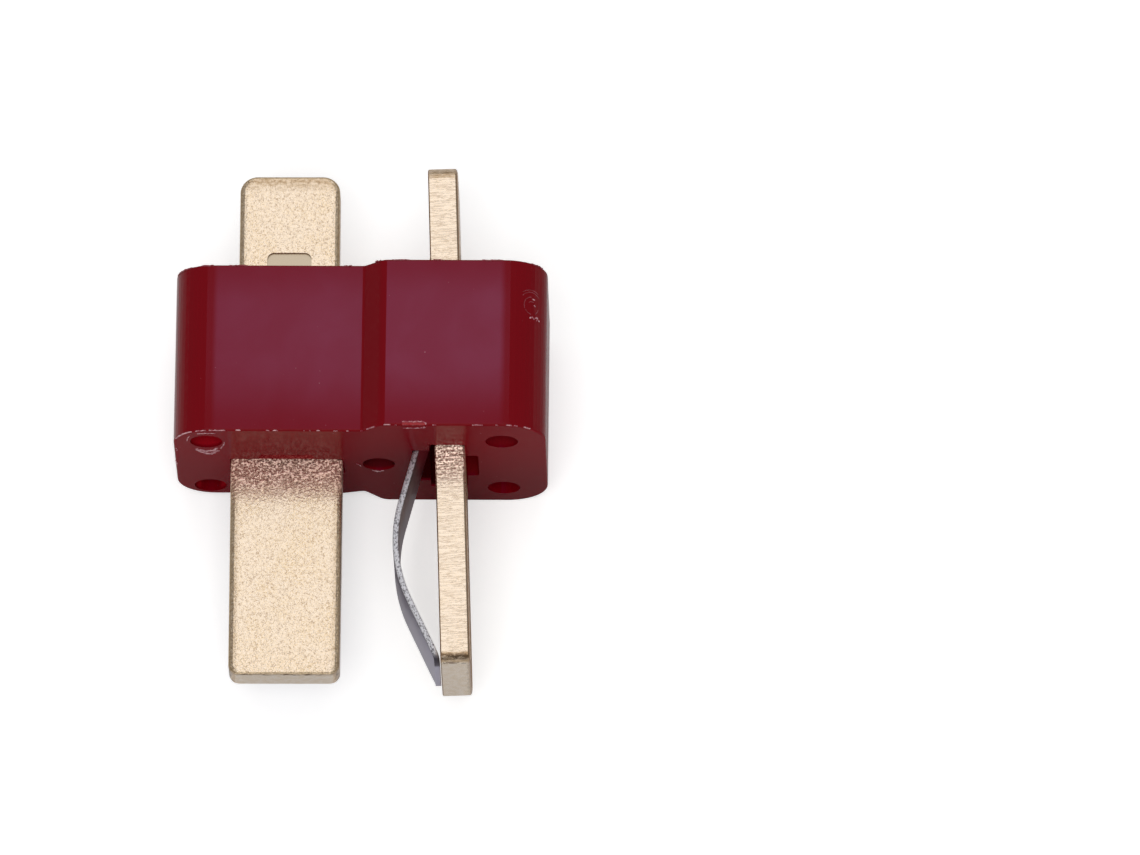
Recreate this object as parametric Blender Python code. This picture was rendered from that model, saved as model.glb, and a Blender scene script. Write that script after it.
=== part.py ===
"""Plug half of a two-pole T plug battery connector, at its real size in metres.

A moulded housing holds two stamped contact blades. One lies flat and one stands on edge,
so that the pair makes the T that keys the plug to its socket. Each blade carries a bowed
steel leaf on one face, which the socket presses flat.

X runs across the housing, -Y is the way the plug goes into its socket, and Z is the
housing's thickness. The plug lies on the back of its thicker half.

Both blades, and the cuts in the housing that hold them, are drawn in one blade frame: its
origin is on the blade's centre line at the mating face, x is across the blade, y is along
the plug and +z is the contact side. The leaf lies on the -z side.
"""

import math

import bmesh
import bpy
from mathutils import Matrix, Vector

MM = 0.001

# Housing
HOUSING_WIDTH = 16.0 * MM
HOUSING_LENGTH = 7.64 * MM
THICK_HALF = 9.0 * MM
THIN_HALF = 7.52 * MM
THIN_CORNER_RADIUS = 1.6 * MM
THICK_CORNER_RADIUS = 1.8 * MM
RIM_ROUND = 0.08 * MM
RIM_SEGMENTS = 3

# Step between the two halves, on the front and on the back
FRONT_STEP_X = 0.12 * MM
FRONT_STEP_RUN = 0.85 * MM
BACK_STEP_X = 0.05 * MM
BACK_STEP_RUN = 0.8 * MM
BACK_DIP_LENGTH = 0.95 * MM
BACK_DIP_DEPTH = 0.3 * MM
BACK_DIP_RADIUS = 1.2 * MM
STEP_FOOT_RADIUS = 0.22 * MM
STEP_BROW_RADIUS = 0.6 * MM

# Ejector recesses in the mating face
RECESS_DIAMETER = 1.4 * MM
RECESS_DEPTH = 0.7 * MM
RECESS_FROM_THIN_END = 1.42 * MM
RECESS_FROM_THICK_END = 1.9 * MM
RECESS_FROM_THIN_FACES = 1.16 * MM
RECESS_FROM_THICK_FACES = 1.75 * MM
CENTRE_RECESS_X = 0.76 * MM
RECESS_ROWS_DROP = 0.18 * MM
RECESS_SIDES = 32

# Nick in the front edge of the mating face
NICK_LENGTH = 0.95 * MM
NICK_X = 2.37 * MM
NICK_INTO_FRONT = 0.13 * MM
NICK_INTO_MATING_FACE = 0.34 * MM
NICK_SIDES = 16

# Contact blades
BLADE_THICKNESS = 1.3 * MM
PRONG_WIDTH = 4.84 * MM
PRONG_LENGTH = 9.83 * MM
PRONG_TAPER = 0.04 * MM
PRONG_CORNER_RADIUS = 0.45 * MM
TAB_WIDTH = 4.33 * MM
TAB_LENGTH = 5.52 * MM
TAB_CORNER_RADIUS = 0.75 * MM
SHOULDER_DEPTH = 0.8 * MM
SHOULDER_RUN = 0.45 * MM
SHOULDER_RADIUS = 0.6 * MM
DIE_ROLL_WIDTH = 0.32 * MM
DIE_ROLL_DEPTH = 0.12 * MM
SHEAR_EDGE_BREAK = 0.05 * MM
PRONG_LAND_START = 0.4 * MM
PRONG_LAND_STEP = 0.02 * MM
SOLDER_LAND_START = 2.3 * MM
BLADE_DROP = 0.3 * MM
FLAT_BLADE_X = -3.2 * MM
FLAT_BLADE_TURN = math.radians(0.25)
UPRIGHT_BLADE_X = 3.87 * MM
UPRIGHT_BLADE_TURN = math.radians(2.15)

# Lanced dome that seats the blade against the solder face, and its hollow
DOME_WIDTH = 1.92 * MM
DOME_REACH = 1.94 * MM
DOME_SEAT_DEPTH = 0.4 * MM
DOME_HEIGHT = 0.5 * MM
LANCE_ARCH = 0.8
LANCE_SINK = 0.1 * MM
LANCE_FALL = 1.4
HOLLOW_CORNER_RADIUS = 0.3 * MM
HOLLOW_DEEP_END = 0.42 * MM
HOLLOW_SHALLOW_END = 0.16 * MM

# Lanced barb that keeps the blade from backing out, in its pocket
BARB_WIDTH = 1.9 * MM
BARB_LENGTH = 1.5 * MM
BARB_HEIGHT = 0.34 * MM
BARB_CUT_DEPTH = 2.4 * MM
BARB_HOLLOW_DEEP_END = 0.28 * MM
BARB_HOLLOW_SHALLOW_END = 0.12 * MM
BARB_POCKET_WIDTH = 2.34 * MM
BARB_POCKET_HEIGHT = 0.54 * MM
BARB_POCKET_CORNER = 0.18 * MM

# Leaf springs: heights are measured out from the blade's face to the leaf's centre line
LEAF_THICKNESS = 0.25 * MM
LEAF_WIDTH = 3.46 * MM
LEAF_TAIL_DEPTH = 2.3 * MM
LEAF_APEX_REACH = 4.55 * MM
LEAF_APEX_HEIGHT = 2.2 * MM
LEAF_CREST_RADIUS = 6.6 * MM
LEAF_FOOT_REACH = 9.4 * MM
LEAF_FOOT_LENGTH = 0.28 * MM
LEAF_FOOT_RADIUS = 0.9 * MM
LEAF_TAPER_LENGTH = 0.96 * MM
LEAF_TAPER_INSET = 0.72 * MM

# Relief beside each blade, where its leaf goes into the housing
BAY_HEIGHT = 0.26 * MM
BAY_DEPTH = 3.7 * MM

# Fits
BLADE_CLEARANCE = 0.03 * MM
LEAF_CLEARANCE = 0.04 * MM
LEAF_SEAT_GAP = 0.03 * MM
DOME_CLEARANCE = 0.12 * MM

# Places worked out from the sizes above
TOTAL_LENGTH = PRONG_LENGTH + HOUSING_LENGTH + TAB_LENGTH
MATING_Y = PRONG_LENGTH - TOTAL_LENGTH / 2
MID_Z = THICK_HALF / 2
BLADE_Z = MID_Z - BLADE_DROP
SHOULDER_Y = HOUSING_LENGTH - SHOULDER_DEPTH

# Reach of a cutter beyond the face that it starts from
OVERCUT = 1.0 * MM

# Fineness of the curved faces
ARC_STEP = math.radians(7.5)
ARC_LEAST_STEPS = 2
EDGE_STEPS = 4
LANCE_STEPS = 10
TAPER_STEPS = 6
SHARP_ANGLE = math.radians(30)
SAME_PLACE = 1e-9

# Colours of the three materials, and their roughness
GOLD_COLOUR = (0.78, 0.66, 0.46)
GOLD_ROUGHNESS = 0.3
STEEL_COLOUR = (0.45, 0.44, 0.47)
STEEL_ROUGHNESS = 0.35
NYLON_COLOUR = (0.28, 0.01, 0.03)
NYLON_ROUGHNESS = 0.25


def clear_scene():
    """Remove every object of the opening scene."""
    for existing in list(bpy.data.objects):
        bpy.data.objects.remove(existing, do_unlink=True)


def finish_material(name, colour, roughness, metallic):
    """Return a plain Principled material."""
    material = bpy.data.materials.new(name)
    material.use_nodes = True
    shader = material.node_tree.nodes["Principled BSDF"]
    shader.inputs["Base Color"].default_value = (*colour, 1.0)
    shader.inputs["Roughness"].default_value = roughness
    shader.inputs["Metallic"].default_value = metallic
    return material


def corner_arc(previous, corner, following, radius):
    """Points of the arc that rounds one corner of an outline."""
    back = (previous - corner).normalized()
    ahead = (following - corner).normalized()
    half = back.angle(ahead) / 2
    centre = corner + (back + ahead).normalized() * (radius / math.sin(half))
    first = corner + back * (radius / math.tan(half)) - centre
    last = corner + ahead * (radius / math.tan(half)) - centre
    sweep = math.copysign(math.pi - 2 * half, first.cross(last))
    steps = max(ARC_LEAST_STEPS, math.ceil(abs(sweep) / ARC_STEP))
    return [centre + Matrix.Rotation(sweep * step / steps, 2) @ first for step in range(steps + 1)]


def rounded_outline(corners):
    """Closed outline through (a, b, radius) corners, as 2D points."""
    places = [Vector(corner[:2]) for corner in corners]
    points = []
    for index, corner in enumerate(corners):
        following = places[(index + 1) % len(places)]
        points += corner_arc(places[index - 1], places[index], following, corner[2])
    return points


def rounded_path(start, corners, end):
    """Open path from start to end, rounded at the (a, b, radius) corners between them."""
    places = [Vector(start)] + [Vector(corner[:2]) for corner in corners] + [Vector(end)]
    points = [places[0]]
    for index, corner in enumerate(corners):
        points += corner_arc(places[index], places[index + 1], places[index + 2], corner[2])
    return points + [places[-1]]


def inset_corners(corners, inset):
    """Move the corners of an anticlockwise outline inwards by the same distance all round."""
    places = [Vector(corner[:2]) for corner in corners]
    moved = []
    for index, (across, along, radius) in enumerate(corners):
        arriving = (places[index] - places[index - 1]).normalized()
        leaving = (places[(index + 1) % len(places)] - places[index]).normalized()
        inward = arriving.orthogonal() + leaving.orthogonal()
        shift = inward * (inset / (1 + arriving.dot(leaving)))
        turn = math.copysign(inset, arriving.cross(leaving))
        moved.append((across + shift.x, along + shift.y, radius - turn))
    return moved


def rectangle(low_a, high_a, low_b, high_b):
    """Corners of a rectangle, as 2D points."""
    return [Vector(point) for point in ((low_a, low_b), (high_a, low_b), (high_a, high_b), (low_a, high_b))]


def ellipse(centre, radius_a, radius_b, sides):
    """Closed ellipse, as 2D points."""
    middle = Vector(centre)
    turns = [2 * math.pi * side / sides for side in range(sides)]
    return [middle + Vector((radius_a * math.cos(turn), radius_b * math.sin(turn))) for turn in turns]


def loft(sections):
    """Closed body through sections that have the same number of points."""
    form = bmesh.new()
    rings = [[form.verts.new(point) for point in section] for section in sections]
    for first, second in zip(rings, rings[1:]):
        for index, corner in enumerate(first):
            beside = (index + 1) % len(first)
            form.faces.new((corner, first[beside], second[beside], second[index]))
    form.faces.new(rings[0])
    form.faces.new(rings[-1])
    bmesh.ops.recalc_face_normals(form, faces=form.faces)
    return form


def prism(outline, axis, low, high):
    """Extrude a 2D outline along an axis.

    The outline's first coordinate is the first of the two remaining axes, in X, Y, Z order.
    """
    first, second = [index for index in range(3) if index != axis]
    sections = []
    for level in (low, high):
        section = []
        for point in outline:
            place = Vector((level, level, level))
            place[first] = point[0]
            place[second] = point[1]
            section.append(place)
        sections.append(section)
    return loft(sections)


def round_rims(form, axis, width):
    """Round the rims of a prism's two ends."""
    rims = []
    for edge in form.edges:
        if abs(edge.verts[0].co[axis] - edge.verts[1].co[axis]) < width / 2:
            rims.append(edge)
    bmesh.ops.bevel(form, geom=rims, offset=width, segments=RIM_SEGMENTS, profile=0.5, affect="EDGES")


def make_object(name, form, station=None, material=None):
    """Turn a bmesh into a named object, placed by its station matrix."""
    mesh = bpy.data.meshes.new(name)
    form.to_mesh(mesh)
    form.free()
    body = bpy.data.objects.new(name, mesh)
    bpy.context.scene.collection.objects.link(body)
    if station is not None:
        body.matrix_world = station
    if material is not None:
        mesh.materials.append(material)
        mesh.shade_smooth()
        mesh.set_sharp_from_angle(angle=SHARP_ANGLE)
    return body


def boolean(body, name, form, operation, station=None):
    """Cut a bmesh out of a body, or join it on, with an exact Boolean."""
    tool = make_object(name, form, station)
    tool.hide_render = True
    tool.display_type = "WIRE"
    modifier = body.modifiers.new(name, "BOOLEAN")
    modifier.operation = operation
    modifier.solver = "EXACT"
    modifier.object = tool


def flat_station():
    """Blade frame of the blade that lies flat, its contact side to the front.

    Each blade sits a little turned, with its prong towards the housing's right end.
    """
    place = Matrix.Translation((FLAT_BLADE_X, MATING_Y, BLADE_Z))
    return place @ Matrix.Rotation(FLAT_BLADE_TURN, 4, "Z")


def upright_station():
    """Blade frame of the blade that stands on edge, its contact side to the right."""
    place = Matrix.Translation((UPRIGHT_BLADE_X, MATING_Y, BLADE_Z))
    return place @ Matrix.Rotation(UPRIGHT_BLADE_TURN, 4, "Z") @ Matrix.Rotation(math.radians(90), 4, "Y")


def housing_outline():
    """Stepped outline of the housing across the plug, as (x, z) points."""
    left = -HOUSING_WIDTH / 2
    right = HOUSING_WIDTH / 2
    thin = THIN_HALF / 2
    thick = THICK_HALF / 2
    corners = [
        (right, thick, THICK_CORNER_RADIUS),
        (FRONT_STEP_X + FRONT_STEP_RUN, thick, STEP_BROW_RADIUS),
        (FRONT_STEP_X, thin, STEP_FOOT_RADIUS),
        (left, thin, THIN_CORNER_RADIUS),
        (left, -thin, THIN_CORNER_RADIUS),
        (BACK_STEP_X - BACK_DIP_LENGTH, -thin, BACK_DIP_RADIUS),
        (BACK_STEP_X, BACK_DIP_DEPTH - thin, STEP_FOOT_RADIUS),
        (BACK_STEP_X + BACK_STEP_RUN, -thick, STEP_BROW_RADIUS),
        (right, -thick, THICK_CORNER_RADIUS),
    ]
    return [point + Vector((0, MID_Z)) for point in rounded_outline(corners)]


def lance_form(width, length, height, cut_y, face, towards, sink):
    """Lanced dome on a blade's face: an arched shell, open at its straight cut and falling off along y.

    Its sides are sheared square, and its underside is sunk into the blade.
    """
    outward = math.copysign(1.0, face)
    sections = []
    for step in range(LANCE_STEPS + 1):
        share = step / LANCE_STEPS
        along = cut_y + towards * share * length
        rise = height * (1 + math.cos(math.pi * share**LANCE_FALL)) / 2
        section = []
        for column in range(LANCE_STEPS + 1):
            side = 2 * column / LANCE_STEPS - 1
            crown = math.sqrt(1 - (LANCE_ARCH * side) ** 2)
            section.append((side * width / 2, along, face + outward * rise * crown))
        section.append((width / 2, along, face - outward * sink))
        section.append((-width / 2, along, face - outward * sink))
        sections.append(section)
    return loft(sections)


def hollow_form(width, low_y, high_y, face, low_depth, high_depth):
    """Punch mark behind a lance: a rounded rectangle sunk from a face, with a sloping floor."""
    outline = rounded_outline(
        [
            (-width / 2, low_y, HOLLOW_CORNER_RADIUS),
            (width / 2, low_y, HOLLOW_CORNER_RADIUS),
            (width / 2, high_y, HOLLOW_CORNER_RADIUS),
            (-width / 2, high_y, HOLLOW_CORNER_RADIUS),
        ]
    )
    outward = math.copysign(1.0, face)
    floor = []
    for point in outline:
        share = (point.y - low_y) / (high_y - low_y)
        depth = low_depth + share * (high_depth - low_depth)
        floor.append((point.x, point.y, face - outward * depth))
    opening = [(point.x, point.y, face + outward * OVERCUT) for point in outline]
    return loft([floor, opening])


def blade_corners():
    """Corners of a stamped blade: the prong, two sloping shoulders and the narrower solder tab."""
    right = [
        (PRONG_WIDTH / 2 - PRONG_TAPER, -PRONG_LENGTH, PRONG_CORNER_RADIUS),
        (PRONG_WIDTH / 2, SHOULDER_Y - SHOULDER_RUN, SHOULDER_RADIUS),
        (TAB_WIDTH / 2, SHOULDER_Y, SHOULDER_RADIUS),
        (TAB_WIDTH / 2, HOUSING_LENGTH + TAB_LENGTH, TAB_CORNER_RADIUS),
    ]
    left = [(-across, along, radius) for across, along, radius in reversed(right)]
    return right + left


def blade_form():
    """Body of a stamped blade: the punch rolls its contact side over and leaves the other side crisp."""
    half = BLADE_THICKNESS / 2
    levels = []
    for step in range(EDGE_STEPS + 1):
        turn = math.pi / 2 * step / EDGE_STEPS
        levels.append((DIE_ROLL_WIDTH * (1 - math.cos(turn)), half - DIE_ROLL_DEPTH * (1 - math.sin(turn))))
    levels.insert(0, (0.0, SHEAR_EDGE_BREAK - half))
    levels.insert(0, (SHEAR_EDGE_BREAK, -half))
    sections = []
    for inset, height in levels:
        outline = rounded_outline(inset_corners(blade_corners(), inset))
        sections.append([(point.x, point.y, height) for point in outline])
    return loft(sections)


def build_blade(name, station):
    """Contact blade with its lanced dome and barb, and the hollow behind each.

    The prong's contact face is coined, and stands a step proud of the stretch behind it.
    """
    half = BLADE_THICKNESS / 2
    form = blade_form()
    solder_land = HOUSING_LENGTH + SOLDER_LAND_START
    bmesh.ops.bisect_plane(
        form,
        geom=form.verts[:] + form.edges[:] + form.faces[:],
        plane_co=(0, solder_land, 0),
        plane_no=(0, 1, 0),
        dist=SAME_PLACE,
    )
    gold = finish_material(name + "_gold", GOLD_COLOUR, GOLD_ROUGHNESS, 1.0)
    blade = make_object(name, form, station, gold)

    seated = rectangle(-PRONG_LAND_START, SHOULDER_Y - SHOULDER_RUN, half - PRONG_LAND_STEP, half + OVERCUT)
    behind_land = prism(seated, 0, -PRONG_WIDTH, PRONG_WIDTH)
    boolean(blade, name + "_land_step", behind_land, "DIFFERENCE", station)

    dome_cut = HOUSING_LENGTH - DOME_SEAT_DEPTH
    dome_end = HOUSING_LENGTH + DOME_REACH
    dome = lance_form(DOME_WIDTH, dome_end - dome_cut, DOME_HEIGHT, dome_cut, -half, 1, LANCE_SINK)
    boolean(blade, name + "_dome", dome, "UNION", station)
    hollow = hollow_form(DOME_WIDTH, dome_cut, dome_end, half, HOLLOW_DEEP_END, HOLLOW_SHALLOW_END)
    boolean(blade, name + "_dome_hollow", hollow, "DIFFERENCE", station)

    barb = lance_form(BARB_WIDTH, BARB_LENGTH, BARB_HEIGHT, BARB_CUT_DEPTH, half, -1, LANCE_SINK)
    boolean(blade, name + "_barb", barb, "UNION", station)
    barb_start = BARB_CUT_DEPTH - BARB_LENGTH
    hollow = hollow_form(
        BARB_WIDTH, barb_start, BARB_CUT_DEPTH, -half, BARB_HOLLOW_SHALLOW_END, BARB_HOLLOW_DEEP_END
    )
    boolean(blade, name + "_barb_hollow", hollow, "DIFFERENCE", station)
    return blade


def leaf_path():
    """Centre line of a leaf from its tail in the housing to its foot, as (y, height) points."""
    seated = LEAF_SEAT_GAP + LEAF_THICKNESS / 2
    corners = [
        (-LEAF_APEX_REACH, LEAF_APEX_HEIGHT, LEAF_CREST_RADIUS),
        (-LEAF_FOOT_REACH, seated, LEAF_FOOT_RADIUS),
    ]
    return rounded_path((LEAF_TAIL_DEPTH, seated), corners, (-LEAF_FOOT_REACH - LEAF_FOOT_LENGTH, seated))


def leaf_stations():
    """Points of the leaf's centre line that get a section, each with half the leaf's width there."""
    half = LEAF_WIDTH / 2
    path = leaf_path()
    tapered = []
    travelled = 0.0
    step = 0
    for nearer, farther in zip(path[::-1], path[-2::-1]):
        run = farther - nearer
        while step <= TAPER_STEPS:
            turn = math.pi / 2 * step / TAPER_STEPS
            distance = LEAF_TAPER_LENGTH * (1 - math.cos(turn))
            if distance > travelled + run.length:
                break
            place = nearer + run.normalized() * (distance - travelled)
            tapered.append((place, half - LEAF_TAPER_INSET * (1 - math.sin(turn))))
            step += 1
        travelled += run.length
        if step > TAPER_STEPS:
            tapered.append((farther, half))
    return tapered[::-1]


def build_leaf(name, station):
    """Bowed strip spring, lofted along its centre line through rectangular sections."""
    stations = leaf_stations()
    sections = []
    for index, (place, half_width) in enumerate(stations):
        behind = stations[max(index - 1, 0)][0]
        beyond = stations[min(index + 1, len(stations) - 1)][0]
        along = (beyond - behind).normalized()
        outward = Vector((along.y, -along.x)) * LEAF_THICKNESS / 2
        section = []
        for across, side in ((-1, -1), (1, -1), (1, 1), (-1, 1)):
            point = place + outward * side
            section.append((across * half_width, point.x, -BLADE_THICKNESS / 2 - point.y))
        sections.append(section)
    steel = finish_material(name + "_steel", STEEL_COLOUR, STEEL_ROUGHNESS, 1.0)
    return make_object(name, loft(sections), station, steel)


def slot_form():
    """Slot right through the housing, as wide as the prong up to the shoulders and as the tab beyond."""
    prong = PRONG_WIDTH / 2 + BLADE_CLEARANCE
    tab = TAB_WIDTH / 2 + BLADE_CLEARANCE
    height = BLADE_THICKNESS / 2 + BLADE_CLEARANCE
    ledge = SHOULDER_Y + BLADE_CLEARANCE
    end = HOUSING_LENGTH + OVERCUT
    right = [(prong, -OVERCUT), (prong, ledge), (tab, ledge), (tab, end)]
    left = [(-across, along) for across, along in reversed(right)]
    return prism(right + left, 2, -height, height)


def leaf_slot_form():
    """Wedge that the leaf runs into, with its outer wall parallel to the leaf."""
    half = BLADE_THICKNESS / 2
    tail, crest = leaf_path()[:2]
    slope = (crest.y - tail.y) / (tail.x - crest.x)
    room = tail.x + LEAF_CLEARANCE
    wall_offset = (LEAF_THICKNESS / 2 + LEAF_CLEARANCE) * math.sqrt(1 + slope**2)
    floor_height = half + tail.y + wall_offset - slope * LEAF_CLEARANCE
    mouth_height = floor_height + slope * (room + OVERCUT)
    side = LEAF_WIDTH / 2 + LEAF_CLEARANCE
    outline = [(room, -half / 2), (room, -floor_height), (-OVERCUT, -mouth_height), (-OVERCUT, -half / 2)]
    return prism(outline, 0, -side, side)


def barb_pocket_form():
    """Pocket with rounded corners that the barb springs out into."""
    inside = BLADE_THICKNESS / 4
    side = BARB_POCKET_WIDTH / 2
    top = BLADE_THICKNESS / 2 + BARB_POCKET_HEIGHT
    corners = [
        (-side, inside, BARB_POCKET_CORNER),
        (side, inside, BARB_POCKET_CORNER),
        (side, top, BARB_POCKET_CORNER),
        (-side, top, BARB_POCKET_CORNER),
    ]
    return prism(rounded_outline(corners), 1, -OVERCUT, BARB_CUT_DEPTH + BLADE_CLEARANCE)


def cut_blade_seat(housing, name, station):
    """Cut everything that one blade and its leaf need in the housing."""
    half = BLADE_THICKNESS / 2
    boolean(housing, name + "_slot", slot_form(), "DIFFERENCE", station)
    bay_side = PRONG_WIDTH / 2 + 2 * BLADE_CLEARANCE
    bay = prism(rectangle(-bay_side, bay_side, -half - BAY_HEIGHT, -half / 2), 1, -OVERCUT, BAY_DEPTH)
    boolean(housing, name + "_bay", bay, "DIFFERENCE", station)
    boolean(housing, name + "_leaf_slot", leaf_slot_form(), "DIFFERENCE", station)
    boolean(housing, name + "_barb_pocket", barb_pocket_form(), "DIFFERENCE", station)

    dome_seat = lance_form(
        DOME_WIDTH + 2 * DOME_CLEARANCE,
        DOME_REACH + DOME_SEAT_DEPTH + DOME_CLEARANCE,
        DOME_HEIGHT + DOME_CLEARANCE,
        HOUSING_LENGTH - DOME_SEAT_DEPTH - BLADE_CLEARANCE,
        -half,
        1,
        half / 2,
    )
    boolean(housing, name + "_dome_seat", dome_seat, "DIFFERENCE", station)


def recess_centres():
    """Places of the five ejector recesses, as (x, z) points on the mating face."""
    thin_x = RECESS_FROM_THIN_END - HOUSING_WIDTH / 2
    thick_x = HOUSING_WIDTH / 2 - RECESS_FROM_THICK_END
    thin_rise = THIN_HALF / 2 - RECESS_FROM_THIN_FACES
    thick_rise = THICK_HALF / 2 - RECESS_FROM_THICK_FACES
    middle = MID_Z - RECESS_ROWS_DROP
    return [
        (thin_x, middle + thin_rise),
        (thin_x, middle - thin_rise),
        (CENTRE_RECESS_X, middle),
        (thick_x, middle + thick_rise),
        (thick_x, middle - thick_rise),
    ]


def build_housing():
    """Moulded housing: the stepped block, its edge rounds and every cut."""
    form = prism(housing_outline(), 1, MATING_Y, MATING_Y + HOUSING_LENGTH)
    round_rims(form, 1, RIM_ROUND)
    nylon = finish_material("housing_nylon", NYLON_COLOUR, NYLON_ROUGHNESS, 0.0)
    housing = make_object("housing", form, None, nylon)
    cut_blade_seat(housing, "flat", flat_station())
    cut_blade_seat(housing, "upright", upright_station())
    radius = RECESS_DIAMETER / 2
    for number, centre in enumerate(recess_centres(), start=1):
        outline = ellipse(centre, radius, radius, RECESS_SIDES)
        recess = prism(outline, 1, MATING_Y - OVERCUT, MATING_Y + RECESS_DEPTH)
        boolean(housing, f"recess_{number}", recess, "DIFFERENCE")
    edge = (MATING_Y, MID_Z + THICK_HALF / 2)
    outline = ellipse(edge, NICK_INTO_FRONT, NICK_INTO_MATING_FACE, NICK_SIDES)
    nick = prism(outline, 0, NICK_X - NICK_LENGTH / 2, NICK_X + NICK_LENGTH / 2)
    boolean(housing, "edge_nick", nick, "DIFFERENCE")
    return housing


def main():
    """Build the plug."""
    clear_scene()
    build_housing()
    build_blade("contact_blade_flat", flat_station())
    build_blade("contact_blade_upright", upright_station())
    build_leaf("leaf_spring_flat", flat_station())
    build_leaf("leaf_spring_upright", upright_station())


main()
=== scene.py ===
"""The looks of a two-pole T plug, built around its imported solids.

Everything is in metres, in the plug's own frame: X runs across the housing, -Y is the way
the plug goes into its socket, and +Z is the front. The plug lies on its back at height 0.
"""

from __future__ import annotations

import logging
import math
import random
from dataclasses import dataclass, field, replace
from enum import Enum
from typing import Callable

import bmesh
import bpy
from mathutils import Matrix, Vector

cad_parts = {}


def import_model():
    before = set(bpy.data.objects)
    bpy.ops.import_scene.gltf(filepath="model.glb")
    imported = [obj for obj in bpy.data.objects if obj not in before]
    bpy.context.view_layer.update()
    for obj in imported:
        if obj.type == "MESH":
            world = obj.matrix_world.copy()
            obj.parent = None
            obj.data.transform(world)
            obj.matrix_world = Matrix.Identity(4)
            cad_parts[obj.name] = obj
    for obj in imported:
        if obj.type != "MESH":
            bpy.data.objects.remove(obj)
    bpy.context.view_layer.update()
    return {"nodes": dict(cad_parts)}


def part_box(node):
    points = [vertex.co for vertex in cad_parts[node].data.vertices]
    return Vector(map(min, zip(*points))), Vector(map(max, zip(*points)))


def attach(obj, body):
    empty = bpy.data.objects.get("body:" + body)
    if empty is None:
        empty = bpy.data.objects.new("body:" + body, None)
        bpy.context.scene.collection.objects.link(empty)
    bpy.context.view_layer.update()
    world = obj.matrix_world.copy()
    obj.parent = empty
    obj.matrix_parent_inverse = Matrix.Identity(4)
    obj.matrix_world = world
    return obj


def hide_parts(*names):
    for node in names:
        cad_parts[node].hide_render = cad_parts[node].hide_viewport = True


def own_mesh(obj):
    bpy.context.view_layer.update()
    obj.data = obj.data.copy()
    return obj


MM = 0.001
LOG = logging.getLogger("t_plug")
PICTURE_WIDTH = 1140
MERGE = 1e-7

Pair = tuple[float, float]
Triple = tuple[float, float, float]
Piece = bpy.types.Object


class Wire:
    """A shader socket that takes Python arithmetic."""

    def __init__(self, graph: Graph, socket: bpy.types.NodeSocket) -> None:
        """Wrap an output socket of a graph's node."""
        self.graph = graph
        self.socket = socket

    def _math(self, operation: str, *values: Wire | float) -> Wire:
        """Add a Math node on these values."""
        return self.graph.node("ShaderNodeMath", {"operation": operation}, values)

    def __add__(self, other: Wire | float) -> Wire:
        """Sum."""
        return self._math("ADD", self, other)

    __radd__ = __add__

    def __sub__(self, other: Wire | float) -> Wire:
        """Difference."""
        return self._math("SUBTRACT", self, other)

    def __rsub__(self, other: float) -> Wire:
        """Difference with a number on the left."""
        return self._math("SUBTRACT", other, self)

    def __mul__(self, other: Wire | float) -> Wire:
        """Product."""
        return self._math("MULTIPLY", self, other)

    __rmul__ = __mul__

    def size(self) -> Wire:
        """Absolute value."""
        return self._math("ABSOLUTE", self)

    def most(self, other: Wire | float) -> Wire:
        """The larger of two values."""
        return self._math("MAXIMUM", self, other)

    def ramp(self, low: float, high: float) -> Wire:
        """Smooth step from 0 at low to 1 at high.

        Args:
            low: Value that gives 0. It may be above high, for a falling step.
            high: Value that gives 1.

        Returns:
            The step.
        """
        if low > high:
            return 1 - self.ramp(high, low)
        sockets = {"Value": self, "From Min": low, "From Max": high}
        return self.graph.node("ShaderNodeMapRange", {"interpolation_type": "SMOOTHSTEP"}, sockets)


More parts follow.
